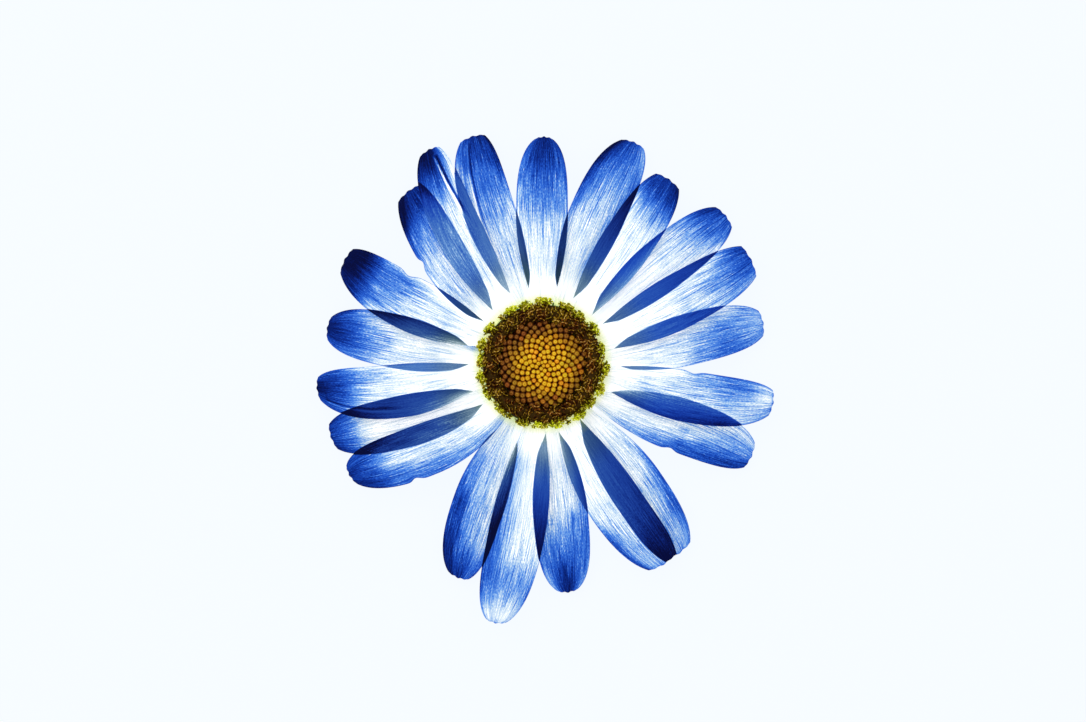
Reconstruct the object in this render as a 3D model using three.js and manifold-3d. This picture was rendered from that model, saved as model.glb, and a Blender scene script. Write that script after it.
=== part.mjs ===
// A blue-rayed daisy flower head, picked with its stem cut flush under the green cup
// and lying face up. Millimetres, +Z up. The origin is on the head's axis, on the flat
// underside. Azimuths are degrees clockwise from +Y, as seen from above.

import * as THREE from "three";
import { mergeVertices } from "three/addons/utils/BufferGeometryUtils.js";
import Module from "manifold-3d";

const wasm = await Module();
wasm.setup();

// ---- Driving dimensions ----

const CLEARANCE = 0.3; // between a piece and the seat that carries it
const AROUND = 27; // facets round the axis
const GOLDEN_ANGLE = 180 * (3 - Math.sqrt(5)); // degrees from one disc floret to the next

// Green cup: receptacle and bracts, flat where the stem was cut.
const CUP = {
  flatRadius: 2.8, // flat underside
  rimRadius: 7.9,
  rimHeight: 3.5, // seat of the lower rays
  stepRadius: 7.05, // foot of the step up to the upper rays
  innerSeat: 4.7, // seat of the upper rays
  domeRadius: 6.2,
  domeEdge: 5.0,
  domeTop: 5.3,
};

// Bracts: rows of pointed scales pressed to the cup's flank.
const BRACT_ROWS = [
  { count: 11, start: 0.18, end: 0.62, width: 2.2 },
  { count: 13, start: 0.32, end: 0.82, width: 2.5 },
  { count: 16, start: 0.55, end: 1.0, width: 2.6 },
];
const BRACT = {
  ridge: 0.34, // middle of a bract above the flank
  tip: 0.2, // tip above the flank
  edge: 0.04, // edges below the flank
  root: 0.3, // how deep a bract is sunk
  widestAt: 0.35, // share of its length
  outward: 0.5, // how much a raised point also moves down
};

// Ray florets: one blade each, in two layers whose overlaps lie clear of each other.
const BLADE = 0.62;
const RAY_STEPS = 10; // facets along a blade
const RAY_STRIPS = 6; // facets across a blade
const RIBS = 3; // ribs along a blade, one for each tooth of its tip
const TIP_CROWDING = 1.4; // above 1, the facets along a blade are shorter near its tip
const ROOT_SHARE = 0.28; // a blade's width at its foot, as a share of its full width
const WIDEST_AT = 0.56; // share of a blade's length where it reaches its full width
const TAPER = { from: 0.55, fall: 0.93, power: 3.2 }; // how it narrows again towards the tip
const TIP_ROUND = 0.2; // how far a blade's corners fall behind its tip
const TIP_POWER = 8; // the higher, the closer to the tip that this shaping starts
const TIP_NOTCH = 0.25; // depth of the notches between the tip's three teeth
const BLADE_ARCH = 0.3; // how much lower a blade's edges are than its middle
const ARCH_FULL_AT = 0.42; // share of its length where the arch is complete
const FLUTE = 0.05; // height of the ribs along a blade
const CREST_AT = 0.4; // share of its length where a blade stops rising
const DROOP_POWER = 2.4; // the higher, the closer to the tip it droops
const LAYERS = {
  upper: { foot: 6.65, height: 5.3, rise: 0.55, droop: 2.7 },
  lower: { foot: 7.5, height: 4.1, rise: 0.35, droop: 3.1 },
};

// Azimuth at the foot, at mid-length and at the tip, then reach from the axis and width.
const AZIMUTH_RADII = { foot: 9.4, middle: 18.75 }; // where the first two are taken
const RAYS = [
  { layer: "upper", foot: 0.5, middle: 0, tip: 0.5, reach: 28.6, width: 6.7 },
  { layer: "lower", foot: 18.5, middle: 20, tip: 23.5, reach: 30.3, width: 7.0 },
  { layer: "upper", foot: 35, middle: 35, tip: 34.5, reach: 28.2, width: 6.5 },
  { layer: "lower", foot: 50.5, middle: 50.5, tip: 51.5, reach: 29.8, width: 6.5 },
  { layer: "upper", foot: 66.5, middle: 65.5, tip: 63.5, reach: 29.4, width: 7.0 },
  { layer: "lower", foot: 84, middle: 80.5, tip: 80, reach: 28.4, width: 6.5 },
  { layer: "upper", foot: 102, middle: 102.5, tip: 99.5, reach: 29.5, width: 6.5 },
  { layer: "lower", foot: 119, middle: 113.5, tip: 113, reach: 28.9, width: 6.6 },
  { layer: "lower", foot: 141, middle: 142, tip: 144, reach: 29.5, width: 6.9 },
  { layer: "upper", foot: 156, middle: 152.5, tip: 148.5, reach: 29.5, width: 6.9 },
  { layer: "lower", foot: 172.5, middle: 173, tip: 174.5, reach: 29, width: 7.0 },
  { layer: "upper", foot: 187.5, middle: 188.5, tip: 190.5, reach: 33.1, width: 7.2 },
  { layer: "lower", foot: 206.5, middle: 204.5, tip: 201.5, reach: 29, width: 6.7 },
  { layer: "upper", foot: 225.5, middle: 234, tip: 240, reach: 28, width: 6.9 },
  { layer: "lower", foot: 242, middle: 247.5, tip: 252, reach: 28.2, width: 6.8 },
  { layer: "upper", foot: 258.5, middle: 259.5, tip: 264.5, reach: 28.5, width: 6.5 },
  { layer: "lower", foot: 277, middle: 279, tip: 279.5, reach: 27.5, width: 6.6 },
  { layer: "upper", foot: 294.5, middle: 294.5, tip: 298, reach: 28.1, width: 6.8 },
  { layer: "lower", foot: 312, middle: 318, tip: 322.5, reach: 27.6, width: 6.1 },
  { layer: "upper", foot: 326.5, middle: 327.5, tip: 332, reach: 30.5, width: 6.2 },
  { layer: "lower", foot: 343, middle: 341, tip: 343, reach: 30.1, width: 6.4 },
];

// Disc: closed florets in the middle, open ones round them, leaning ones at the rim.
const DISC = {
  closedRadius: 5.2,
  closedEdge: 6.9, // height of the middle's edge
  closedTop: 7.7,
  underside: 5.35, // the disc's edge, clear of the cup's dome
  openInner: 5.55,
  openLeg: 6.2, // outer radius of the ring's leg, which stands on the cup's dome
  openOuter: 7.35,
  openShelf: 6.95, // underside of the ring beyond its leg
  openLip: 7.15, // top of the ring's outer wall
  openWall: 7.35, // top of its inner wall
  openTop: 7.6,
  rimInner: 6.5,
  rimOuter: 7.55,
  rimHeight: 5.98,
  rimThick: 0.64,
};
const CLOSED_FLORET = { count: 100, radius: 0.41, shoulder: 0.34, height: 0.62, root: 0.6 };
const CLOSED_LEAN = 0.06; // outward lean of a bud for each millimetre from the axis
const OPEN_FLORET = { count: 46, lobe: 0.6, notch: 0.33, height: 0.8, centre: 0.62, root: 0.75 };
const OPEN_LEAN = { inner: 4, outer: 38 }; // degrees off upright
const OPEN_ROWS = { inner: 5.9, outer: 7.25 }; // distances of the innermost and outermost
const OPEN_FEET = { inner: 7.5, outer: 7.15 }; // heights of their feet
const RIM_CLUMPS = 14;
const RIM_CLUMP = [
  { turn: -7, length: 1.05, lean: 66 },
  { turn: 0, length: 1.3, lean: 74 },
  { turn: 7, length: 1.1, lean: 62 },
];
const RIM_FLORET = { distance: 7.4, radius: 0.33, widest: 0.6, root: 0.5 };

// ---- Helpers ----

const radians = THREE.MathUtils.degToRad;

// A point at a distance from the axis, an azimuth in degrees and a height.
function polar(radius, azimuth, height) {
  const turn = radians(azimuth);
  return new THREE.Vector3(radius * Math.sin(turn), radius * Math.cos(turn), height);
}

// A closed shell from points and triangles of point numbers.
function shell(points, triangles) {
  const geometry = new THREE.BufferGeometry();
  const positions = points.flatMap((point) => [point.x, point.y, point.z]);
  geometry.setAttribute("position", new THREE.Float32BufferAttribute(positions, 3));
  geometry.setIndex(triangles.flat());
  return geometry;
}

// A solid for joining, with only positions and shared vertices.
function solid(geometry) {
  const bare = geometry.clone();
  bare.deleteAttribute("normal");
  bare.deleteAttribute("uv");
  const merged = mergeVertices(bare, 1e-4);
  return new wasm.Manifold(
    new wasm.Mesh({
      numProp: 3,
      vertProperties: new Float32Array(merged.attributes.position.array),
      triVerts: new Uint32Array(merged.index.array),
    }),
  );
}

// Joins the repeats to the body that they grow from, and keeps its outer skin alone, so
// that no pocket stays sealed between them.
function fuse(body, repeats) {
  const joined = repeats.reduce((whole, piece) => whole.add(solid(piece)), solid(body));
  const skins = joined.decompose().sort((one, other) => other.volume() - one.volume());
  const mesh = skins[0].getMesh();
  const geometry = new THREE.BufferGeometry();
  geometry.setAttribute("position", new THREE.BufferAttribute(mesh.vertProperties, 3));
  geometry.setIndex(new THREE.BufferAttribute(mesh.triVerts, 1));
  return geometry;
}

// A turned body from [radius, height] pairs, which run from the lowest point outwards.
function turned(profile) {
  const points = profile.map(([radius, height]) => new THREE.Vector2(radius, height));
  const geometry = new THREE.LatheGeometry(points, AROUND);
  geometry.rotateX(Math.PI / 2);
  return geometry;
}

// A ring of points round a stem: radii repeat round it, and it stands along "axis".
function ringOf(centre, axis, radii, sides) {
  const across = new THREE.Vector3(0, 0, 1).cross(axis);
  if (across.lengthSq() < 1e-6) across.set(1, 0, 0);
  across.normalize();
  const along = new THREE.Vector3().crossVectors(axis, across);
  return Array.from({ length: sides }, (_, side) => {
    const turn = (2 * Math.PI * side) / sides;
    const radius = radii[side % radii.length];
    return centre
      .clone()
      .addScaledVector(across, radius * Math.cos(turn))
      .addScaledVector(along, radius * Math.sin(turn));
  });
}

// A closed spindle: a ring of equal sides round a stem, and a point at each end of it.
// Heights are measured from the foot along the axis, so the root lies below it.
function spindle(foot, axis, { root, ringHeight, radii, sides, tip }) {
  const at = (height) => foot.clone().addScaledVector(axis, height);
  const points = [at(-root), ...ringOf(at(ringHeight), axis, radii, sides), at(tip)];
  const last = sides + 1;
  const triangles = [];
  for (let side = 1; side <= sides; side++) {
    const next = (side % sides) + 1;
    triangles.push([0, next, side], [side, next, last]);
  }
  return shell(points, triangles);
}

// ---- Green cup ----

// The cup's flank for a share from 0 to 1: a quarter of an ellipse, from the edge of the
// flat underside, where it runs level, to the rim, where it stands upright.
function flank(share) {
  const turn = (share * Math.PI) / 2;
  return {
    radius: CUP.flatRadius + (CUP.rimRadius - CUP.flatRadius) * Math.sin(turn),
    height: CUP.rimHeight * (1 - Math.cos(turn)),
  };
}

function cupBody() {
  const shares = [0.2, 0.4, 0.6, 0.8, 0.92];
  const flankPoints = shares.map((share) => {
    const { radius, height } = flank(share);
    return [radius, height];
  });
  return turned([
    [0, 0],
    [CUP.flatRadius, 0],
    ...flankPoints,
    [CUP.rimRadius, CUP.rimHeight],
    [CUP.stepRadius, CUP.rimHeight],
    [CUP.stepRadius, CUP.innerSeat],
    [CUP.domeRadius, CUP.innerSeat],
    [CUP.domeRadius - CLEARANCE, CUP.domeEdge],
    [0, CUP.domeTop],
  ]);
}

// One bract: a boat-shaped scale along the flank, widest a third of the way up.
function bract(azimuth, row) {
  const place = (along, side, lift) => {
    const spot = flank(row.start + (row.end - row.start) * along);
    const turn = (side / spot.radius) * THREE.MathUtils.RAD2DEG;
    return polar(spot.radius + lift, azimuth + turn, spot.height - lift * BRACT.outward);
  };
  const half = row.width / 2;
  const points = [
    place(0, 0, -BRACT.root),
    place(BRACT.widestAt, -half, -BRACT.edge),
    place(BRACT.widestAt, 0, -BRACT.root),
    place(BRACT.widestAt, half, -BRACT.edge),
    place(BRACT.widestAt, 0, BRACT.ridge),
    place(1, 0, BRACT.tip),
  ];
  const triangles = [];
  for (let side = 1; side <= 4; side++) {
    const next = (side % 4) + 1;
    triangles.push([0, next, side], [side, next, 5]);
  }
  return shell(points, triangles);
}

function involucre() {
  const bracts = BRACT_ROWS.flatMap((row, level) =>
    Array.from({ length: row.count }, (_, index) =>
      bract((360 * (index + level / BRACT_ROWS.length)) / row.count, row),
    ),
  );
  return fuse(cupBody(), bracts);
}

// ---- Ray florets ----

// A ray's azimuth at a radius: a parabola through its foot, middle and tip.
function rayAzimuth(ray, radius) {
  const { foot, middle } = AZIMUTH_RADII;
  const tip = ray.reach;
  const overFoot = ((radius - middle) * (radius - tip)) / ((foot - middle) * (foot - tip));
  const overMiddle = ((radius - foot) * (radius - tip)) / ((middle - foot) * (middle - tip));
  const overTip = ((radius - foot) * (radius - middle)) / ((tip - foot) * (tip - middle));
  return ray.foot * overFoot + ray.middle * overMiddle + ray.tip * overTip;
}

// Rises from 0 to 1 like a quarter of a sine wave, and stays at 1.
function rampUp(share) {
  return Math.sin((Math.PI / 2) * Math.min(share, 1));
}

// A ray's width at a share of its length: it swells from the root, then rounds off.
function rayWidth(ray, share) {
  const swell = ROOT_SHARE + (1 - ROOT_SHARE) * rampUp(share / WIDEST_AT);
  const taper = Math.max((share - TAPER.from) / (1 - TAPER.from), 0);
  return ray.width * swell * Math.sqrt(1 - TAPER.fall * taper ** TAPER.power);
}

// A point of a ray's middle surface: "share" runs from foot to tip, and "side" from
// -0.5 to 0.5 across it. It rises a little from its seat and then droops.
function rayPoint(ray, share, side) {
  const layer = LAYERS[ray.layer];
  const spread = 2 * side;
  const wave = Math.cos(2 * Math.PI * RIBS * side);
  const notch = (TIP_NOTCH * (1 - wave) * (1 - spread ** 2)) / 2;
  const tipFall = TIP_ROUND * spread ** 2 + notch;
  const length = (ray.reach - layer.foot) * share;
  const radius = layer.foot + length - tipFall * share ** TIP_POWER;
  const turn = ((side * rayWidth(ray, share)) / radius) * THREE.MathUtils.RAD2DEG;
  const lift = layer.rise * rampUp(share / CREST_AT);
  const arch = BLADE_ARCH * spread ** 2 * rampUp(share / ARCH_FULL_AT);
  const rib = FLUTE * wave * Math.sin(Math.PI * share);
  const height = layer.height + lift - layer.droop * share ** DROOP_POWER - arch + rib;
  return polar(radius, rayAzimuth(ray, radius) + turn, height);
}

// A blade: the middle surface moved up and down by half its thickness, and closed.
function rayBlade(ray) {
  const points = [];
  for (const offset of [BLADE / 2, -BLADE / 2]) {
    for (let step = 0; step <= RAY_STEPS; step++) {
      const share = 1 - (1 - step / RAY_STEPS) ** TIP_CROWDING;
      for (let strip = 0; strip <= RAY_STRIPS; strip++) {
        const point = rayPoint(ray, share, strip / RAY_STRIPS - 0.5);
        points.push(point.setZ(point.z + offset));
      }
    }
  }
  const under = (RAY_STEPS + 1) * (RAY_STRIPS + 1);
  const number = (step, strip) => step * (RAY_STRIPS + 1) + strip;
  const triangles = [];
  for (let step = 0; step < RAY_STEPS; step++) {
    for (let strip = 0; strip < RAY_STRIPS; strip++) {
      const near = number(step, strip);
      const right = number(step, strip + 1);
      const far = number(step + 1, strip);
      const corner = number(step + 1, strip + 1);
      triangles.push([near, right, corner], [near, corner, far]);
      triangles.push([under + near, under + corner, under + right]);
      triangles.push([under + near, under + far, under + corner]);
    }
  }
  const wall = (from, to) => {
    triangles.push([from, under + from, under + to], [from, under + to, to]);
  };
  for (let strip = 0; strip < RAY_STRIPS; strip++) {
    wall(number(0, strip), number(0, strip + 1));
    wall(number(RAY_STEPS, strip + 1), number(RAY_STEPS, strip));
  }
  for (let step = 0; step < RAY_STEPS; step++) {
    wall(number(step + 1, 0), number(step, 0));
    wall(number(step, RAY_STRIPS), number(step + 1, RAY_STRIPS));
  }
  return shell(points, triangles);
}

// ---- Disc florets ----

// The middle's height at a distance from the axis: a low dome.
function domeHeight(radius) {
  const fall = DISC.closedTop - DISC.closedEdge;
  return DISC.closedTop - fall * (radius / DISC.closedRadius) ** 2;
}

// Closed florets: plump buds in a golden-angle spiral over the dome.
function closedFlorets() {
  const edge = DISC.closedRadius;
  const underCentre = CUP.domeTop + CLEARANCE;
  const underEdge = DISC.underside;
  const domeRadii = [edge, edge * 0.75, edge * 0.4, 0];
  const body = turned([
    [0, underCentre],
    [edge, underEdge],
    ...domeRadii.map((distance) => [distance, domeHeight(distance)]),
  ]);
  const { count, radius, shoulder, height, root } = CLOSED_FLORET;
  const reach = edge - radius;
  const buds = Array.from({ length: count }, (_, index) => {
    const distance = reach * Math.sqrt((index + 0.5) / count);
    const azimuth = index * GOLDEN_ANGLE;
    const foot = polar(distance, azimuth, domeHeight(distance));
    const axis = polar(distance * CLOSED_LEAN, azimuth, 1).normalize();
    const shape = { root, ringHeight: shoulder, radii: [radius], sides: 5, tip: height };
    return spindle(foot, axis, shape);
  });
  return fuse(body, buds);
}

// Open florets: five-lobed trumpets with a style in each, leaning out more at the rim.
function openFlorets() {
  const body = turned([
    [DISC.openInner, DISC.underside],
    [DISC.openLeg, DISC.underside],
    [DISC.openLeg, DISC.openShelf],
    [DISC.openOuter, DISC.openShelf],
    [DISC.openOuter, DISC.openLip],
    [(DISC.openInner + DISC.openOuter) / 2, DISC.openTop],
    [DISC.openInner, DISC.openWall],
    [DISC.openInner, DISC.underside],
  ]);
  const { count, lobe, notch, height, centre, root } = OPEN_FLORET;
  const { inner, outer } = OPEN_ROWS;
  const florets = Array.from({ length: count }, (_, index) => {
    const share = (index + 0.5) / count;
    const distance = Math.sqrt(inner ** 2 + (outer ** 2 - inner ** 2) * share);
    const azimuth = index * GOLDEN_ANGLE;
    const lean = radians(THREE.MathUtils.lerp(OPEN_LEAN.inner, OPEN_LEAN.outer, share));
    const footHeight = THREE.MathUtils.lerp(OPEN_FEET.inner, OPEN_FEET.outer, share ** 2);
    const foot = polar(distance, azimuth, footHeight);
    const axis = polar(Math.sin(lean), azimuth, Math.cos(lean));
    const radii = [lobe, notch];
    return spindle(foot, axis, { root, ringHeight: height, radii, sides: 10, tip: centre });
  });
  return fuse(body, florets);
}

// Rim florets: clumps of pointed tips that lean out over the feet of the rays.
function rimFlorets() {
  const top = DISC.rimHeight + DISC.rimThick;
  const body = turned([
    [DISC.rimInner, DISC.rimHeight],
    [DISC.rimOuter, DISC.rimHeight],
    [DISC.rimOuter, top],
    [DISC.rimInner, top],
    [DISC.rimInner, DISC.rimHeight],
  ]);
  const { distance, radius, widest, root } = RIM_FLORET;
  const tips = [];
  for (let clump = 0; clump < RIM_CLUMPS; clump++) {
    for (const { turn, length, lean } of RIM_CLUMP) {
      const azimuth = (360 * clump) / RIM_CLUMPS + turn;
      const foot = polar(distance, azimuth, DISC.rimHeight + DISC.rimThick / 2);
      const axis = polar(Math.sin(radians(lean)), azimuth, Math.cos(radians(lean)));
      const ringHeight = length * widest;
      tips.push(spindle(foot, axis, { root, ringHeight, radii: [radius], sides: 4, tip: length }));
    }
  }
  return fuse(body, tips);
}

// ---- Assembly ----

const finish = (color, roughness) => new THREE.MeshStandardMaterial({ color, roughness });

function sub(name, geometry, material) {
  const mesh = new THREE.Mesh(geometry, material);
  mesh.name = name;
  return mesh;
}

const head = new THREE.Group();
head.name = "daisy_head";
head.add(sub("involucre", involucre(), finish(0x4f7a34, 0.7)));
head.add(sub("closed_florets", closedFlorets(), finish(0xd9a31c, 0.55)));
head.add(sub("open_florets", openFlorets(), finish(0x5a3f10, 0.7)));
head.add(sub("rim_florets", rimFlorets(), finish(0xbccb2c, 0.6)));

const rays = new THREE.Group();
rays.name = "rays";
RAYS.forEach((ray, index) => {
  const name = `ray_floret_${String(index + 1).padStart(2, "0")}`;
  rays.add(sub(name, rayBlade(ray), finish(0x2f62c8, 0.5)));
});
head.add(rays);

export default head;
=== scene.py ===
import math

import bpy
import numpy as np
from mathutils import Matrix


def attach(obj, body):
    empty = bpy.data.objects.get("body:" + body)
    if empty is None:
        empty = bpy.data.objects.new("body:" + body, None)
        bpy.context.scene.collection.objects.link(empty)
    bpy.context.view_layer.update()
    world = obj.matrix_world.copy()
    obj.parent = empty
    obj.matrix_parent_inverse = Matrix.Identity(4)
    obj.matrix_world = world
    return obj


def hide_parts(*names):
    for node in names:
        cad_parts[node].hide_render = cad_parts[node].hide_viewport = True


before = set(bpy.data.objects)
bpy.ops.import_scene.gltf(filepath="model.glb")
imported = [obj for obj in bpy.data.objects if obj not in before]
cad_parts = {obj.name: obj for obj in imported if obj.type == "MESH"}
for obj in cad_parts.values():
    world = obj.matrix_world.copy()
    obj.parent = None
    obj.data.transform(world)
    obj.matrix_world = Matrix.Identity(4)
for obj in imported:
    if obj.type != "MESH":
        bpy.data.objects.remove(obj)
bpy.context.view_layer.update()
print("frame loaded:", len(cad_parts), "nodes")

mm = 0.001
golden = 180 * (3 - math.sqrt(5))  # degrees from one disc floret to the next
studioGain = 0.73  # what a colour keeps, so that it reads true under the bright studio light
random = np.random.default_rng(21)


# Goes smoothly from 0 to 1 as x goes from low to high.
def ease(x, low, high):
    t = np.clip((x - low) / (high - low), 0, 1)
    return t * t * (3 - 2 * t)


# A bell curve: 1 where x is 0, and about a third where x is as large as the spread.
def bell(x, spread):
    return np.exp(-((x / spread) ** 2))


# Quarter of a sine wave from 0 to 1, which then stays at 1.
def rampUp(share):
    return np.sin(np.pi / 2 * np.clip(share, 0, 1))


# Points from a distance to the axis, an azimuth in degrees and a height.
def polar(radius, azimuth, height):
    turn = np.radians(azimuth)
    x, y = radius * np.sin(turn), radius * np.cos(turn)
    return np.stack(np.broadcast_arrays(x, y, height), -1)


# Faces of a grid, as point numbers; "wrap" joins its last column to the first.
def gridFaces(rows, columns, wrap=False, first=0):
    strips = columns if wrap else columns - 1
    i, j = np.meshgrid(np.arange(rows - 1), np.arange(strips), indexing="ij")
    here = i * columns + j
    beside = i * columns + (j + 1) % columns
    faces = np.stack([here, beside, beside + columns, here + columns], -1)
    return faces.reshape(-1, 4) + first


# Point numbers round the outside of a grid, in one closed loop.
def outlineLoop(rows, columns):
    number = np.arange(rows * columns).reshape(rows, columns)
    return np.concatenate([number[0, :-1], number[:-1, -1], number[-1, :0:-1], number[:0:-1, 0]])


# The faces of a shape, once for each point number that a copy of it starts at.
def facesFrom(faces, starts):
    return [[corner + start for corner in face] for start in starts for face in faces]


# Makes an object of some data in the scene.
def addObject(name, data):
    thing = bpy.data.objects.new(name, data)
    bpy.context.collection.objects.link(thing)
    return thing


# Makes one piece: points in millimetres, faces, float attributes per point and a grain map in mm.
def addPiece(name, points, faces, material, nodes, values=None, grain=None):
    mesh = bpy.data.meshes.new(name)
    places = (np.asarray(points).reshape(-1, 3) * mm).tolist()
    mesh.from_pydata(places, [], [list(face) for face in faces])
    mesh.polygons.foreach_set("use_smooth", np.ones(len(mesh.polygons), bool))
    for label, data in (values or {}).items():
        layer = mesh.attributes.new(label, "FLOAT", "POINT")
        layer.data.foreach_set("value", np.asarray(data, np.float32).ravel())
    if grain is not None:
        corners = np.zeros(len(mesh.loops), np.int32)
        mesh.loops.foreach_get("vertex_index", corners)
        flat = np.asarray(grain, np.float32).reshape(-1, 2)[corners]
        mesh.uv_layers.new(name="grain").data.foreach_set("uv", flat.ravel())
    mesh.materials.append(material)
    mesh.validate()
    mesh.update()
    piece = addObject(name, mesh)
    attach(piece, "root")
    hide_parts(*nodes)
    return piece


# Repeats one small shape at "feet": a copy's own Z runs along its axis, about which it is spun.
def repeatShape(points, faces, feet, axes, spins, sizes):
    up = axes / np.linalg.norm(axes, axis=1, keepdims=True)
    side = np.cross(np.array([0.0, 0.0, 1.0]), up) + np.array([1e-6, 0, 0])
    side /= np.linalg.norm(side, axis=1, keepdims=True)
    along = np.cross(up, side)
    spin = np.radians(spins)[:, None]
    across = side * np.cos(spin) + along * np.sin(spin)
    onward = np.cross(up, across)
    turn = np.stack([across, onward, up], 1)
    copies = np.einsum("pk,nkj->npj", points, turn) * sizes[:, None, None] + feet[:, None, :]
    return copies, facesFrom(faces, range(0, len(feet) * len(points), len(points)))


# Makes one piece of a small shape, repeated, and the body that carries it. "values" holds pairs:
# an array by copy and by point of the shape, and the one number that the body has.
def addCluster(name, shape, places, body, values, material, nodes):
    copies, faces = repeatShape(*shape, *places)
    bodyPoints, bodyFaces = body
    everywhere = {}
    for label, (onCopies, onBody) in values.items():
        spread = np.broadcast_to(onCopies, copies.shape[:2]).ravel()
        everywhere[label] = np.concatenate([spread, np.full(len(bodyPoints), onBody)])
    copies = copies.reshape(-1, 3)
    faces = faces + facesFrom(bodyFaces, [len(copies)])
    points = np.concatenate([copies, bodyPoints])
    return addPiece(name, points, faces, material, nodes, everywhere)


# Wraps one output socket of a material, so that arithmetic on it adds Math nodes.
class Wire:
    def __init__(self, tree, socket=None):
        self.tree = tree
        self.socket = socket

    # Adds a node: its settings first (and a ramp's stops), then its sockets by name or number.
    def add(self, kind, settings, inputs, out=0):
        node = self.tree.nodes.new(kind)
        for name, value in settings.items():
            if name == "stops":
                setStops(node.color_ramp, value)
            else:
                setattr(node, name, value)
        for name, value in inputs.items():
            if isinstance(value, Wire):
                self.tree.links.new(value.socket, node.inputs[name])
            else:
                node.inputs[name].default_value = value
        return Wire(self.tree, node.outputs[out] if node.outputs else None)

    # A Math node on the given values, or on this one alone
    def math(self, operation, *values):
        inputs = dict(enumerate(values or (self,)))
        return self.add("ShaderNodeMath", {"operation": operation}, inputs)

    def __add__(self, other):
        return self.math("ADD", self, other)

    def __radd__(self, other):
        return self.math("ADD", other, self)

    def __sub__(self, other):
        return self.math("SUBTRACT", self, other)

    def __rsub__(self, other):
        return self.math("SUBTRACT", other, self)

    def __mul__(self, other):
        return self.math("MULTIPLY", self, other)

    def __rmul__(self, other):
        return self.math("MULTIPLY", other, self)

    # 0 up to "low" and 1 from "high", straight between; "low" may be the larger of the two
    def band(self, low, high):
        ends = {"Value": self, "From Min": low, "From Max": high}
        return self.add("ShaderNodeMapRange", {}, ends)

    def attributes(self, *names):
        looks = [{"attribute_name": name} for name in names]
        return [self.add("ShaderNodeAttribute", look, {}, out=2) for look in looks]

    # Noise, mostly near a half, that repeats "often" in all directions or in each of three
    def noise(self, vector, often, detail, offset=(0, 0, 0)):
        place = {"Vector": vector, "Scale": np.multiply(often, (1, 1, 1)), "Location": offset}
        place = self.add("ShaderNodeMapping", {}, place)
        return self.add("ShaderNodeTexNoise", {}, {"Vector": place, "Scale": 1.0, "Detail": detail})

    def ramp(self, stops):
        return self.add("ShaderNodeValToRGB", {"stops": stops}, {"Fac": self})

    def mix(self, factor, one, other):
        inputs = {0: factor, 6: one, 7: other}
        return self.add("ShaderNodeMix", {"data_type": "RGBA"}, inputs, out=2)

    def tinted(self, color):
        multiply = {"data_type": "RGBA", "blend_type": "MULTIPLY"}
        return self.add("ShaderNodeMix", multiply, {0: 1.0, 6: self, 7: color}, out=2)

    def bump(self, strength, distance):
        inputs = {"Height": self, "Strength": strength, "Distance": distance}
        return self.add("ShaderNodeBump", {}, inputs)


# Fills a colour ramp with pairs of a position and a colour.
def setStops(ramp, stops):
    while len(ramp.elements) > 1:
        ramp.elements.remove(ramp.elements[0])
    ramp.elements[0].position, ramp.elements[0].color = stops[0]
    for position, color in stops[1:]:
        ramp.elements.new(position).color = color


# A screen colour, 0 to 255, as the linear colour that a shader takes, dimmed by "gain"
def tint(red, green, blue, gain=1.0):
    shares = [c / 255 for c in (red, green, blue)]
    linear = [s / 12.92 if s < 0.04 else ((s + 0.055) / 1.055) ** 2.4 for s in shares]
    return tuple(gain * c for c in linear) + (1.0,)


# Stops of a colour ramp, from rows of a position, a screen colour and, in some, a gain of its own
def stops(rows, gain=1.0):
    return [(row[0], tint(*row[1:4], *(row[4:] or [gain]))) for row in rows]


# A material with one Principled shader; "constants" are the sockets that are the same all over,
# and "feed" links a wire to one of the others.
def newMaterial(name, constants):
    material = bpy.data.materials.new(name)
    material.use_nodes = True
    tree = material.node_tree
    tree.nodes.clear()
    start = Wire(tree)
    surface = start.add("ShaderNodeBsdfPrincipled", {}, constants)
    shader = surface.socket.node
    start.add("ShaderNodeOutputMaterial", {}, {"Surface": surface})

    def feed(socket, wire):
        tree.links.new(wire.socket, shader.inputs[socket])

    return material, start, feed


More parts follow.
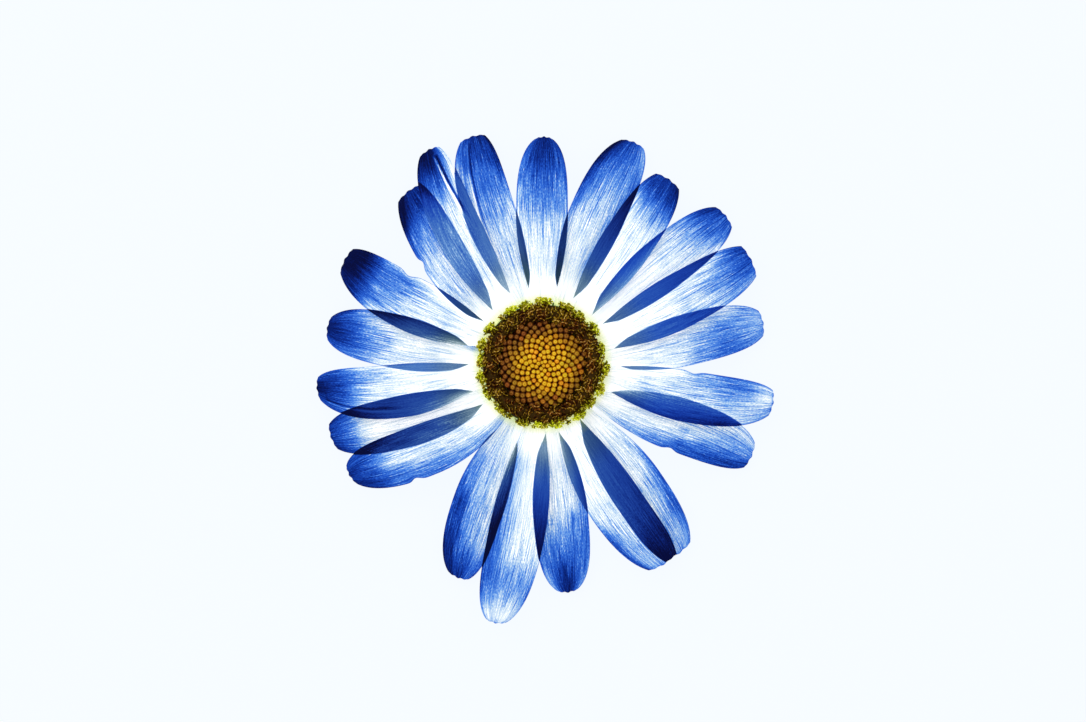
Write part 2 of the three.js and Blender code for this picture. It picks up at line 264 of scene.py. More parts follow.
# Ray florets. "ink" is how much blue a petal holds: 0.33 reads as white against the light, 0.55
# as sky blue, 0.85 as deep blue and 1.5 or more as navy. Where two petals overlap, painted shade
# adds more ink, as the light that comes through both petals is dimmer.
petal = {
    "blade": 0.3,  # thickness along the middle
    "edge": 0.14,  # thickness at the edges
    "along": 150,
    "across": 49,
    "rowPower": 1.25,  # above 1, rows are closer at the tip
    "columnBend": 1.35,  # the larger, the closer columns are at the edges
    "azimuthRadii": (9.4, 18.75),  # where a ray's first two azimuths are taken
    "rootShare": 0.28,
    "widestAt": 0.56,
    "taperFrom": 0.55,
    "taperFall": 0.93,
    "taperPower": 3.2,
    "bluntFall": 0.19,
    "blunt": 0.9,
    "tipRound": 0.3,
    "tipNotch": 0.14,
    "tipPower": 8,
    "arch": 0.3,
    "archFullAt": 0.42,
    "crestAt": 0.4,
    "droopPower": 2.4,
    "phaseStep": 1.7,  # shifts veins and waves from petal to petal
    "grooveDepth": 0.11,
    "grooveAt": 0.17,  # of the width, on both sides of the middle
    "grooveSpread": 0.05,
    "veinDepth": 0.016,
    "veinCount": 13,
    "edgeWave": 0.07,
    "waveCount": 1.6,
    "inset": 0.04,  # how far the finer tip stays inside the frame's
    "grainStep": 20,  # from petal to petal in the streaks' pattern
    "whiteInk": 0.33,
    "skyInk": 0.55,
    "deepInk": 0.85,
    "leastRise": 1.2,  # the shortest way from sky blue to deep blue
    "paleSpan": (9.5, 13.5),  # where the white foot takes on the ray's own pale ink
    "tipSpan": (-5.5, -0.5),  # where the tip's ink sets in, from the reach
    "toneSide": 0.36,  # of the width: where a ray's left and right tones are taken
    "tonePower": 1.6,
    "fadeSpread": 0.8,
    "rim": 0.2,  # ink of a ray's thin outline
    "rimSpread": 0.15,
    "rimSpan": (-3, 1),  # where it sets in, from where the ray turns sky blue
    "tipTrim": 0.1,  # the outline ends this far inside the reach
    "lensSpan": (8.3, 11.5),  # an overlap comes to a point at the first and is full at the second
    "lensPoint": 0.55,
    "lensRadii": (12, 22),  # where an overlap's two depths are taken
    "lensBeyond": (-0.1, 1.4),  # how far they are carried on, by the way between them
    "slateSpan": (11, 15.5),
    "slateFar": 0.2,
    "slateNear": 0.34,
    "shadeSpan": (10, 13),
    "throughLight": 0.55,  # light that comes through a petal from behind
}
# A crease's fold: painted shade beside its line, and a painted highlight on its other side.
crease = {
    "spread": 0.22,
    "darkAt": 0.14,  # beside the line, with a paler streak on its other side
    "darkSpread": 0.16,
    "paleAt": -0.16,
    "paleSpread": 0.12,
    "paleShare": 0.9,
    "fadeIn": 0.15,
    "fadeOut": 0.03,
}
layers = {
    "upper": {"foot": 6.65, "height": 5.3, "rise": 0.55, "droop": 2.7},
    "lower": {"foot": 7.5, "height": 4.1, "rise": 0.35, "droop": 3.1},
}


# One ray: its layer, azimuths at foot, middle and tip, reach and width. Then where it turns sky
# blue and deep blue (distances on its left, in the middle and on its right), its ink nearer the
# disc, what its tip holds on top, and the painted shade of its overlap with the next ray
# clockwise, where light comes through both petals: extra ink near the disc and further out, how
# much lighter its clockwise side is, and how slate it looks. "leanFar" is that painted lightness
# further out, "fade" the ink that is lacking close to an edge and "blunt" how square the tip is.
def ray(*values, **more):
    names = "layer", "azimuths", "reach", "width", "sky", "deep", "pale", "tip", "lens"
    return {**dict(zip(names, values)), **more}


rays = [
    ray("upper", (0.5, 0, 0.5), 28.6, 6.5, (19.0, 17.6, 19.1), (23.3, 21.9, 22.9),
        0.43, (0.05, 0.27, 0.04), (0.52, 0.56, 0, 0.48), fade=(0.12, 0, 0), blunt=0.2),
    ray("lower", (19.2, 20, 22.5), 30.3, 7.0, (19.8, 21.8, 20.5), (23.0, 27.6, 29),
        0.43, (0.2, 0.15, -0.12), (0.08, 0.72, 0, 0.26), blunt=0.6),
    ray("upper", (35.6, 35.1, 34.5), 28.2, 6.4, (24.8, 22.2, 22.4), (27.4, 25.4, 25),
        0.37, (0.45, 0.25, 0.45), (0.11, 0.33, 0.32, -0.05), blunt=1.2),
    ray("lower", (50.5, 50.5, 51.1), 29.8, 6.6, (23.4, 23.4, 26.3), (27, 28, 29),
        0.35, (0.32, 0.1, 0.1), (0.19, 0.57, 0, 0.08)),
    ray("upper", (67.1, 65.4, 63.5), 29.4, 6.9, (25.4, 22.8, 23.6), (29, 29.6, 30.4),
        0.35, (0.3, 0.25, 0.05), (0.1, 0.31, 0, 0), blunt=1.6),
    ray("lower", (84, 80.5, 79.5), 28.4, 6.5, (24.4, 19.2, 18.4), (32, 24.6, 22.4),
        0.39, (-0.05, -0.38, -0.5), (0.08, 0.1, 0, 0), fade=(0, 0, 0.1)),
    ray("upper", (102, 102.5, 99.5), 29.5, 6.5, (19.2, 22.5, 26.2), (26, 33, 37),
        0.45, (-0.42, -0.24, -0.02), (0.1, 0.42, -0.4, 0), fade=(0.18, 0, 0), rim=0.45,
        toneSide=0.22),
    ray("lower", (119, 114.1, 113.8), 28.9, 6.9, (26.5, 22.9, 15.5), (33, 30.5, 22),
        0.41, (-0.05, -0.03, -0.02), (0, 0, 0, 0.3), toneSide=0.28),
    ray("lower", (141, 142.3, 144), 29.5, 7.0, (17.4, 24, 24), (24, 33, 30),
        0.41, (-0.42, -0.1, 0.25), (0.29, 0.4, 0.15, 0.2), blunt=1.2),
    ray("upper", (155.4, 152.8, 148.7), 29.5, 7.05, (25, 24.6, 22.2), (33, 32, 25.6),
        0.35, (0.1, -0.1, -0.42), (0.06, 0.4, 0.2, 0.2), blunt=1.2),
    ray("lower", (171.7, 172.9, 173.5), 29, 6.9, (16.2, 20.1, 19.7), (24.8, 23.6, 25.2),
        0.42, (-0.1, 0.36, -0.2), (0.02, 0.74, 0, 0.12), blunt=0.35),
    ray("upper", (187.1, 188.1, 190.2), 33.1, 7.05, (25.8, 25.4, 18.8), (29.9, 31, 28.4),
        0.37, (-0.6, -0.5, -0.5), (0.03, 0.92, 0.5, 0.38), blunt=0.3, rim=0.3),
    ray("lower", (206.5, 204.5, 201.5), 29, 6.6, (22.4, 16.3, 13.8), (33, 32, 21.2),
        0.43, (0.35, 0.55, 0.15), (0, 0, 0, 0), toneSide=0.2, blunt=0.5),
    ray("upper", (225.5, 234, 240), 28, 6.9, (12.9, 23, 20.8), (24.2, 25.4, 24.1),
        0.46, (0.5, 0.26, 0.05), (0.06, 0.48, -0.12, 0.3), toneSide=0.26, blunt=0.4),
    ray("lower", (242, 247.3, 250.9), 28.2, 6.7, (25.2, 24.6, 24.6), (27, 26.3, 26.5),
        0.35, (0.45, 0.12, 0.3), (0.12, 0.66, -0.42, 0.25), leanFar=0.12),
    ray("upper", (259.1, 259.4, 263.9), 28.5, 6.75, (23.4, 22.6, 19.3), (27.8, 24.8, 23.5),
        0.39, (0.4, 0.4, 0.35), (0.1, 0.1, 0, 0.1), fade=(0, 0, 0.3), blunt=0.6),
    ray("lower", (276.4, 278.8, 279.5), 27.5, 6.75, (20.4, 20.1, 23.7), (24.8, 23.2, 25.9),
        0.4, (0.25, 0.43, 0.25), (-0.12, 0.66, -0.15, 0.4), fade=(0.15, 0, -0.35), blunt=0.6),
    ray("upper", (295.3, 294.7, 298), 28.1, 6.9, (22.1, 19.2, 15.8), (25, 23.2, 20.4),
        0.44, (0.7, 0.9, 1.3), (0.35, 0.35, 0, 0.3), fade=(0, 0, 0.42)),
    ray("lower", (312, 317.8, 322.2), 27.6, 6.15, (19.9, 19.9, 20.2), (22, 24, 23.2),
        0.48, (0.85, 0.35, 0.2), (-0.05, -0.32, 0, 0), blunt=1.3),
    ray("upper", (326.5, 327.8, 332.2), 30.5, 6.0, (25.4, 23.4, 26.4), (27.8, 25.4, 30),
        0.42, (0.9, 0.25, -0.02), (-0.1, 0.1, 0, 0.12), fade=(0, 0, 0.15), blunt=0.7),
    ray("lower", (343, 341, 343), 30.04, 6.5, (25.4, 17.8, 20.2), (31, 24.9, 23.6),
        0.47, (0.3, 0.3, 0.15), (0.26, 0.34, -0.05, 0.47)),
]
# Kinks in an edge, by the ray's number from 0: side (1 is clockwise), distance, depth and spread.
kinks = {
    6: (-1, 19.0, 0.3, 0.8),
    7: (1, 19.2, 0.35, 0.7),
    13: (-1, 21.3, 0.45, 0.6),
    17: (1, 20.0, 0.45, 0.9),
    18: (-1, 19.6, 0.4, 0.6),
    19: (1, 26.3, 0.35, 1.3),
}
# Creases: a line from one side (-0.5 to 0.5) and share of the length to another, depth, and the
# ink of painted shade beside the fold, with a painted highlight on its other side.
creases = {
    15: ((-0.34, 0.5), (-0.3, 0.97), 0.12, 0.5),
    19: ((0.3, 0.55), (0.14, 0.97), 0.14, 0.85),
    20: ((-0.2, 0.45), (-0.14, 0.98), 0.1, 0.4),
}
# Soft shades beside an overlap, where the hidden edge shimmers through: side, ink and spread.
shades = {0: (1, 0.12, 0.6), 1: (1, 0.2, 0.45), 11: (1, 0.24, 0.9)}


# Azimuth at a distance: the parabola through the ray's foot, middle and tip.
def rayAzimuth(one, radius):
    places = [*petal["azimuthRadii"], one["reach"]]
    return np.polyval(np.polyfit(places, one["azimuths"], 2), radius)


# Width at a share of the length: a sine swell from the root, then a taper, less on a blunt tip.
def rayWidth(one, share):
    swell = petal["rootShare"] + (1 - petal["rootShare"]) * rampUp(share / petal["widestAt"])
    taper = np.clip((share - petal["taperFrom"]) / (1 - petal["taperFrom"]), 0, 1)
    fall = petal["taperFall"] - petal["bluntFall"] * one.get("blunt", petal["blunt"])
    return one["width"] * swell * np.sqrt(1 - fall * taper ** petal["taperPower"])


# Distance from the axis of a point at a share and side: the length along the ray, less what the
# rounded and faintly lobed tip falls back.
def rayRadius(one, share, side):
    foot = layers[one["layer"]]["foot"]
    notch = petal["tipNotch"] * (1 - np.cos(6 * np.pi * side)) * (1 - 4 * side**2) / 2
    fall = petal["tipRound"] * 4 * side**2 + notch
    return foot + (one["reach"] - petal["inset"] - foot) * share - fall * share ** petal["tipPower"]


# What is given on the left, in the middle and on the right of a ray, with a power between them.
def acrossRay(one, key, side):
    left, middle, right = one.get(key, (0, 0, 0))
    edge = np.where(side < 0, left, right)
    away = np.abs(side) / one.get("toneSide", petal["toneSide"])
    return middle + (edge - middle) * np.clip(away, 0, 1.2) ** petal["tonePower"]


# Ink of one ray: an exponential rise from its pale tissue up to sky blue, a straight one through
# deep blue, what its tip holds on top, less what an edge lacks, and a thin outline.
def rayInk(one, share, side, radius):
    white, skyInk, deepInk = petal["whiteInk"], petal["skyInk"], petal["deepInk"]
    sky = acrossRay(one, "sky", side)
    rise = np.maximum(acrossRay(one, "deep", side) - sky, petal["leastRise"])
    reached = (radius - sky) / rise
    pale = white + (one["pale"] - white) * ease(radius, *petal["paleSpan"])
    rate = (deepInk - skyInk) / (skyInk - pale)
    before = pale + (skyInk - pale) * np.exp(rate * np.minimum(reached, 0))
    ink = before + (deepInk - skyInk) * np.maximum(reached, 0)
    ink = ink + acrossRay(one, "tip", side) * ease(radius - one["reach"], *petal["tipSpan"])
    edge = np.maximum((0.5 - np.abs(side)) * rayWidth(one, share), 0)
    ink = ink - acrossRay(one, "fade", side) * np.exp(-edge / petal["fadeSpread"])
    inward = np.minimum(edge, np.maximum(one["reach"] - petal["tipTrim"] - radius, 0))
    outline = one.get("rim", petal["rim"]) * np.exp(-inward / petal["rimSpread"])
    return np.clip(ink, white, 2) + outline * ease(radius - sky, *petal["rimSpan"])


# How far a place lies inside a ray's outline, in millimetres, with its share and side there.
def insideRay(one, radius, azimuth):
    foot = layers[one["layer"]]["foot"]
    share = np.clip((radius - foot) / (one["reach"] - foot), 0.001, 1)
    width = rayWidth(one, share)
    away = (azimuth - rayAzimuth(one, radius) + 180) % 360 - 180
    side = np.radians(away) * radius / width
    toTip = one["reach"] - petal["tipTrim"] - radius
    inside = np.minimum((0.5 - np.abs(side)) * width, toTip)
    return inside, share, np.clip(side, -0.5, 0.5)


# What a ray's neighbours add: how deep a place lies in an overlap (negative outside), the ink of
# painted shade that the nearer neighbour brings there, where light comes through both petals, how
# slate it looks, and the painted soft shadow beside it.
def rayOverlap(number, share, side, radius, azimuth, width):
    one = rays[number]
    depths, lensShades, slates, shade = [], [], [], 0
    nearDisc = 1 - ease(radius, *petal["slateSpan"])
    slateByRadius = petal["slateFar"] + petal["slateNear"] * nearDisc
    ownEdge = np.maximum((0.5 - np.abs(side)) * width, 0)
    near, far = petal["lensRadii"]
    for step in (-1, 1):
        other = rays[(number + step) % len(rays)]
        inside, otherShare, otherSide = insideRay(other, radius, azimuth)
        source = one if step > 0 else other
        atNear, atFar, lean, slate = source["lens"]
        out = np.clip((radius - near) / (far - near), *petal["lensBeyond"])
        more = atNear + (atFar - atNear) * out
        lean = lean + (source.get("leanFar", lean) - lean) * out
        balance = step * (inside - ownEdge) / (np.abs(inside) + ownEdge + 0.3)
        lensShades.append(rayInk(other, otherShare, otherSide, radius) + more - lean * balance)
        depths.append(inside)
        slates.append(np.clip(slateByRadius + slate, 0, 1))
        toward, amount, spread = shades.get(number, (0, 0, 1))
        if toward == step:
            away = np.maximum(-inside, 0)
            shade = amount * np.exp(-away / spread) * ease(radius, *petal["shadeSpan"])
    nearer = depths[0] > depths[1]
    point = petal["lensPoint"] * (1 - ease(radius, *petal["lensSpan"]))
    depth = np.where(nearer, depths[0], depths[1]) - point
    return np.clip(depth, -1, 1), np.where(nearer, *lensShades), np.where(nearer, *slates), shade


# Middle surface and ink of a ray on a grid of shares and sides. The height rises by a quarter
# sine and droops as a power of the share, less a square arch and two grooves, with cosine veins
# and a sine wave at the edges. Kinks and creases are bell curves.
def raySurface(number):
    one = rays[number]
    layer = layers[one["layer"]]
    rows = 1 - (1 - np.linspace(0, 1, petal["along"])) ** petal["rowPower"]
    bend = petal["columnBend"]
    columns = 0.5 * np.sin(np.linspace(-1, 1, petal["across"]) * bend) / math.sin(bend)
    share, side = np.meshgrid(rows, columns, indexing="ij")
    radius = rayRadius(one, share, side)
    width = rayWidth(one, share)
    shift = 0
    if number in kinks:
        edge, place, depth, spread = kinks[number]
        toEdge = np.clip(2 * side * edge, 0, 1) ** 4
        shift = -edge * depth * (bell(radius - place, spread) * toEdge)
    azimuth = rayAzimuth(one, radius) + np.degrees((side * width + shift) / radius)
    phase = number * petal["phaseStep"]
    height = layer["height"] + layer["rise"] * rampUp(share / petal["crestAt"])
    height = height - layer["droop"] * share ** petal["droopPower"]
    height = height - petal["arch"] * 4 * side**2 * rampUp(share / petal["archFullAt"])
    groove = bell(np.abs(side) - petal["grooveAt"], petal["grooveSpread"])
    height = height - petal["grooveDepth"] * groove * rampUp(share * 3) * rampUp((1 - share) * 5)
    veins = np.cos(2 * np.pi * petal["veinCount"] * side + 1.5 * np.sin(3 * share + phase))
    height = height + petal["veinDepth"] * veins * rampUp((1 - share) * 6)
    wave = np.sin(2 * np.pi * petal["waveCount"] * share + phase) * np.abs(2 * side) ** 3
    height = height + petal["edgeWave"] * wave * np.sin(np.pi * share)
    ink = rayInk(one, share, side, radius)
    if number in creases:
        (sideFrom, shareFrom), (sideTo, shareTo), depth, dark = creases[number]
        t = np.clip((share - shareFrom) / (shareTo - shareFrom), 0, 1)
        off = (side - sideFrom - (sideTo - sideFrom) * t) * width
        window = ease(share, shareFrom, shareFrom + crease["fadeIn"])
        window = window * (1 - ease(share, shareTo - crease["fadeOut"], shareTo))
        height = height - depth * bell(off, crease["spread"]) * window
        # Painted shade on one side of the fold and a painted highlight on the other.
        ink = ink + dark * bell(off - crease["darkAt"], crease["darkSpread"]) * window
        paler = dark * crease["paleShare"] * bell(off - crease["paleAt"], crease["paleSpread"])
        ink = ink - paler * window
    depth, added, slate, shade = rayOverlap(number, share, side, radius, azimuth, width)
    values = {"ink": ink, "added": added, "depth": depth, "slate": slate}
    values.update({"shade": shade + 0 * ink, "radius": radius})
    return polar(radius, azimuth, height), values, share, side


# A petal as a thin closed slab: the middle surface moved up and down by half a thickness that
# thins to the edges and the tip, with walls all round.
def buildRay(number, material):
    points, values, share, side = raySurface(number)
    rows, columns = share.shape
    thick = (petal["blade"] - petal["edge"]) * (1 - (2 * side) ** 4)
    thick = petal["edge"] + thick * rampUp((1 - share) * 8)
    lift = np.zeros_like(points)
    lift[..., 2] = thick / 2
    count = rows * columns
    loop = outlineLoop(rows, columns)
    onward = np.roll(loop, -1)
    walls = np.stack([loop + count, onward + count, onward, loop], -1)
    under = gridFaces(rows, columns, first=count)[:, ::-1]
    faces = np.concatenate([gridFaces(rows, columns), under, walls])
    grainX = side * rays[number]["width"] + petal["grainStep"] * number
    grain = np.stack([grainX, share * rays[number]["reach"]], -1)
    both = {label: np.stack([data, data]) for label, data in values.items()}
    slab = np.stack([points + lift, points - lift])
    name, node = f"petal{number + 1:02d}", f"ray_floret_{number + 1:02d}"
    return addPiece(name, slab, faces, material, [node], both, np.stack([grain, grain]))


# Screen colours by half the ink: of a single petal, and of the painted shade where two petals lie
# over each other, where it looks blue and where it looks slate. Then the moss that this painted
# shade turns to near the disc, and the disc's painted glow on the petal feet.
petalColors = {
    "single": [
        (0.165, 255, 255, 255, 0.92), (0.178, 247, 252, 253, 0.79), (0.2, 232, 244, 250, 0.7),
        (0.218, 217, 233, 244), (0.25, 187, 213, 239), (0.276, 157, 194, 235), (0.3, 127, 173, 232),
        (0.328, 97, 151, 228), (0.37, 67, 125, 219), (0.44, 36, 93, 203), (0.54, 19, 67, 175),
        (0.66, 6, 43, 137), (0.8, 1, 23, 98), (0.97, 0, 6, 55),
    ],
    "blue": [
        (0.2, 200, 224, 246), (0.3, 106, 157, 220), (0.345, 77, 130, 206), (0.4, 54, 108, 199),
        (0.5, 28, 79, 190), (0.62, 15, 60, 176), (0.76, 5, 38, 141), (0.88, 1, 20, 104),
        (1.0, 0, 5, 66),
    ],
    "slate": [
        (0.2, 206, 222, 228), (0.3, 136, 158, 166), (0.345, 106, 129, 138), (0.4, 80, 105, 116),
        (0.5, 46, 74, 92), (0.62, 28, 52, 76), (0.76, 12, 31, 57), (0.88, 5, 17, 42),
        (1.0, 1, 6, 28),
    ],
    "moss": tint(112, 132, 70),
    "glow": tint(232, 240, 110),
}
# Streaks along a petal: how often the noise repeats per millimetre across and along, its detail
# and how much ink it moves. A line is drawn where its noise crosses a half.
streaks = {
    "broad": {"often": (1.2, 0.12, 1), "detail": 2, "ink": 0.18},
    "fine": {"often": (7.2, 0.26, 1), "detail": 3, "ink": 0.74},
    "speck": {"often": (10, 2.6, 1), "detail": 2, "ink": 0.54},
}
lines = {
    "thread": {"often": (3.6, 0.06, 1), "offset": (7, 3, 0), "width": 0.035, "share": 1},
    "hair": {"often": (9, 0.12, 1), "offset": (3, 9, 0), "width": 0.06, "share": 0.5},
}
lineMean = 0.22  # taken off the lines, so that they don't darken a petal as a whole


# Petal skin: ink, roughened by streaks along the petal and by speckle, looked up in a colour
# ramp. Overlaps are painted shade of the light through two petals, in duller ramps, more slate
# towards the disc, whose painted glow tints the petal feet.
def makePetalMaterial():
    constants = {"Specular IOR Level": 0.04, "Emission Strength": petal["throughLight"]}
    material, start, feed = newMaterial("petalSkin", constants)
    grain = start.add("ShaderNodeUVMap", {"uv_map": "grain"}, {})
    ink, added, depth = start.attributes("ink", "added", "depth")
    slate, shade, radius = start.attributes("slate", "shade", "radius")
    cover = depth.band(-0.05, 0.06)
    noises, streak, line = {}, 0, -lineMean
    for name, look in streaks.items():
        noises[name] = start.noise(grain, look["often"], look["detail"])
        streak = streak + (noises[name] - 0.5) * look["ink"]
    for look in lines.values():
        away = (start.noise(grain, look["often"], 1, look["offset"]) - 0.5).math("ABSOLUTE")
        line = line + (1 - away.band(0, look["width"])) * look["share"]
    fine, speck = noises["fine"], noises["speck"]
    sky, deep = ink.band(0.34, 0.5), ink.band(0.6, 1.2)  # streaks grow stronger with the ink
    force = (0.25 + sky * 0.75 + deep * 1.3) * (1 + cover * 0.8)
    lineForce = (0.13 + sky * 0.1) * (1 - cover * 0.4)
    # Painted shade in the overlaps, and a painted soft shadow beside them.
    flat = ink + cover * added + shade * (1 - cover)
    place = (flat + streak * force + line * lineForce) * 0.5
    names = ("single", "blue", "slate")
    single, blue, slaty = (place.ramp(stops(petalColors[name], studioGain)) for name in names)
    double = start.mix(slate, blue, slaty)
    double = start.mix(radius.band(10.2, 8.2) * 0.75, double, petalColors["moss"])
    color = start.mix(cover, single, double)
    # Painted glow from the disc on the petal feet.
    glow = radius.band(8.9, 7.7) * (1 - cover * 0.5) * 0.6
    color = start.mix(glow, color, petalColors["glow"])
    feed("Base Color", color)
    # Emission paints the light that comes through a petal from behind.
    feed("Emission Color", color)
    feed("Roughness", 0.5 + fine * 0.25)
    feed("Normal", (fine + speck * 0.4).bump(0.35, 0.00012))
    return material


petalMaterial = makePetalMaterial()
for number in range(len(rays)):
    buildRay(number, petalMaterial)
print("petals built:", len(rays))


# Closed disc florets: plump buds in a golden-angle spiral on a low dome.
closed = {
    "count": 212,
    "reach": 5.3,
    "power": 0.572,  # above 0.5 the buds grow and stand wider apart towards the edge
    "size": 0.455,  # radius of a bud at the edge
    "sizes": (0.93, 1.05),
    "height": 0.52,
    "root": -0.6,
    "sides": 7,
    "spin": 37.0,
    "lean": 0.06,
    "ripeSpan": (1.8, 5.2),  # distances between which the buds turn brown
    "brownAzimuth": -60,  # they are browner on this side
    "brown": 0.2,
    "wander": (0.03, 0.4, 0.05, 0.2),  # random part of distance, azimuth, lean and ripeness
    "domeTop": 7.72,
    "domeEdge": 6.95,
    "domeRadius": 5.4,
    "domeRings": (5.0, 3.6, 1.8),
    "domeFoot": [(5.4, 5.4), (5.4, 6.7)],
    "domeUnder": 5.65,
    "domeSides": 48,
}
# A bud's outline: share of its radius and of its height, from its root to its top, and how
# bright it is there: painted shade down between the buds and a painted highlight on the top.
budOutline = [(0.8, -0.5), (0.98, 0.1), (1.0, 0.42), (0.84, 0.8), (0.42, 1.0)]
budBright = [0, 0, 0, 0.4, 0.95]
# The dimple on a bud's top is painted a little darker, as shade.
budTop = {"height": 0.93, "bright": 0.72}  # the dimple where the closed lobes meet


# Height of the dome at a distance from the axis: it falls as the square of the distance.
def domeHeight(radius):
    drop = closed["domeTop"] - closed["domeEdge"]
    return closed["domeTop"] - drop * (radius / closed["domeRadius"]) ** 2


# A turned closed shape: rings from pairs of radius and height, closed at both ends by a fan.
def turnedShape(outline, sides, bottom, top):
    turn = np.linspace(0, 2 * np.pi, sides, endpoint=False)
    radii, heights = np.array(outline).T[:, :, None]
    rings = np.stack(np.broadcast_arrays(radii * np.cos(turn), radii * np.sin(turn), heights), -1)
    points = np.concatenate([rings.reshape(-1, 3), [[0, 0, bottom], [0, 0, top]]])
    faces = gridFaces(len(outline), sides, wrap=True).tolist()
    low, high, last = len(points) - 2, len(points) - 1, (len(outline) - 1) * sides
    for j in range(sides):
        k = (j + 1) % sides
        faces.append([low, k, j])
        faces.append([high, last + j, last + k])
    return points, faces


# Random numbers between minus and plus a limit, one per floret.
def wander(limit, count):
    return random.uniform(-limit, limit, count)


# Makes the closed florets on their dome, their distance a power of their place in the spiral.
# How light a point is runs from 0 at a bud's root, painted shade, to 1 on its top, a painted
# highlight, and "ripe" is how brown it has turned.
def buildClosedFlorets(material):
    count = closed["count"]
    index = np.arange(count)
    share = (index + 0.5) / count
    power = closed["power"]
    off, around, aside, riper = closed["wander"]
    radius = closed["reach"] * share**power + wander(off, count)
    azimuth = index * golden + wander(around, count) / np.maximum(share, 0.1)
    feet = polar(radius, azimuth, domeHeight(radius))
    axes = polar(radius * closed["lean"], azimuth, 1.0) + wander(aside, (count, 3))
    sizes = closed["size"] * share ** (power - 0.5) * random.uniform(*closed["sizes"], count)
    points, faces = turnedShape(budOutline, closed["sides"], closed["root"], budTop["height"])
    points[:, 2] *= closed["height"] / closed["size"]
    crown = np.concatenate([np.repeat(budBright, closed["sides"]), [0, budTop["bright"]]])
    brown = closed["brown"] * np.cos(np.radians(azimuth - closed["brownAzimuth"]))
    tone = ease(radius, *closed["ripeSpan"]) + brown * ease(radius, 1, 4)
    tone = tone + closed["brown"] * (1 - ease(radius, 0, 1.2)) + wander(riper, count)
    hue = random.uniform(0, 1, count)
    rings = np.array(closed["domeRings"])
    outline = closed["domeFoot"] + list(zip(rings, domeHeight(rings)))
    dome = turnedShape(outline, closed["domeSides"], closed["domeUnder"], closed["domeTop"])
    places = (feet, axes, index * closed["spin"], sizes)
    values = {"crown": (crown, 0), "ripe": (tone[:, None], 0.5), "hue": (hue[:, None], 0.5)}
    slot, nodes = "floret_gold", ["closed_florets"]
    addCluster("closedFlorets", (points, faces), places, dome, values, material, nodes)


# Bud colours from root to top, dark as painted shade at the root and light as a painted
# highlight on top, and what the most olive and most orange buds multiply them by.
budColors = {
    "young": [
        (0.0, 52, 9, 0), (0.25, 112, 42, 0), (0.5, 184, 116, 0), (0.8, 226, 166, 0),
        (1.0, 255, 220, 60),
    ],
    "old": [
        (0.0, 28, 6, 0), (0.25, 46, 14, 1), (0.5, 76, 34, 2), (0.8, 112, 60, 5),
        (1.0, 160, 104, 36),
    ],
    "olive": (0.88, 1.0, 0.9, 1),
    "orange": (1.08, 0.72, 1.0, 1),
}


# Bud skin: from golden to orange-brown as a bud ripens, darkest down between the buds as
# painted shade and lightest on the tops as a painted highlight.
def makeBudMaterial():
    material, start, feed = newMaterial("budSkin", {"Specular IOR Level": 0.1})
    place = start.add("ShaderNodeTexCoord", {}, {}, out=3)
    crown, ripe, hue = start.attributes("crown", "ripe", "hue")
    mottle = start.noise(place, 3400, 2)
    level = crown + (mottle - 0.5) * 0.4
    young, old = (level.ramp(stops(budColors[name])) for name in ("young", "old"))
    color = start.mix(ripe.band(0, 1), young, old)
    color = start.mix(hue.band(0.3, 0), color, color.tinted(budColors["olive"]))
    color = start.mix(hue.band(0.82, 1), color, color.tinted(budColors["orange"]))
    feed("Base Color", color)
    feed("Roughness", 0.3 + mottle * 0.3)
    feed("Normal", mottle.bump(0.25, 0.0001))
    return material


buildClosedFlorets(makeBudMaterial())
print("closed florets built")

# One open disc floret, in shares of its size: a tube with five lobes that curl back, and a
# forked style. "Bright" is how light a part is, from 0 in the tube's foot: painted shade low in
# the hollows, and lobes and style tips that are paler partly by their own colour and partly as a
# painted highlight.
floret = {
    "tube": [(0.45, -1.2), (0.5, 0.5), (0.85, 1.35)],  # radius and height
    "tubeBright": [0.0, 0.08, 0.25],
    "lobe": [(1.3, -0.52, 1.75), (1.3, 0.52, 1.75), (1.95, 0, 1.45)],  # out, beside and up
    "lobeBright": [0.42, 0.42, 0.75],
    "style": [(0, 0, 0.4), (0.1, 0, 1.8), (0.55, 0.1, 2.35), (1.05, 0.25, 2.0)],
    "styleThick": [0.3, 0.27, 0.24, 0.21],
    "styleBright": [0.1, 0.48, 0.86, 1.24],
    "sizes": (0.8, 1.15),
    "lobeLime": 0.2,
    "ringSides": 60,
}
# The ring of open disc florets. Its "ring" is the outline of the body that carries them.
opened = {
    "count": 190,
    "inner": 5.45,
    "outer": 7.55,
    "footHigh": 7.25,
    "footLow": 6.8,
    "footPower": 1.5,
    "leanOuter": 56,
    "wander": (0.12, 3, 14, 0.25),  # random part of distance, azimuth, lean and sideways lean
    "heights": (-0.12, 0.08),
    "size": 0.26,
    "spin": 53.0,
    "limeSpan": (6.4, 7.6),
    "lime": 0.42,
    "ring": [(5.45, 5.45), (6.15, 5.45), (6.2, 6.7), (7.3, 6.65), (7.4, 6.8), (6.95, 7.1),
             (6.2, 7.22), (5.7, 7.0), (5.45, 6.6)],
    "ringLime": 0.18,
}


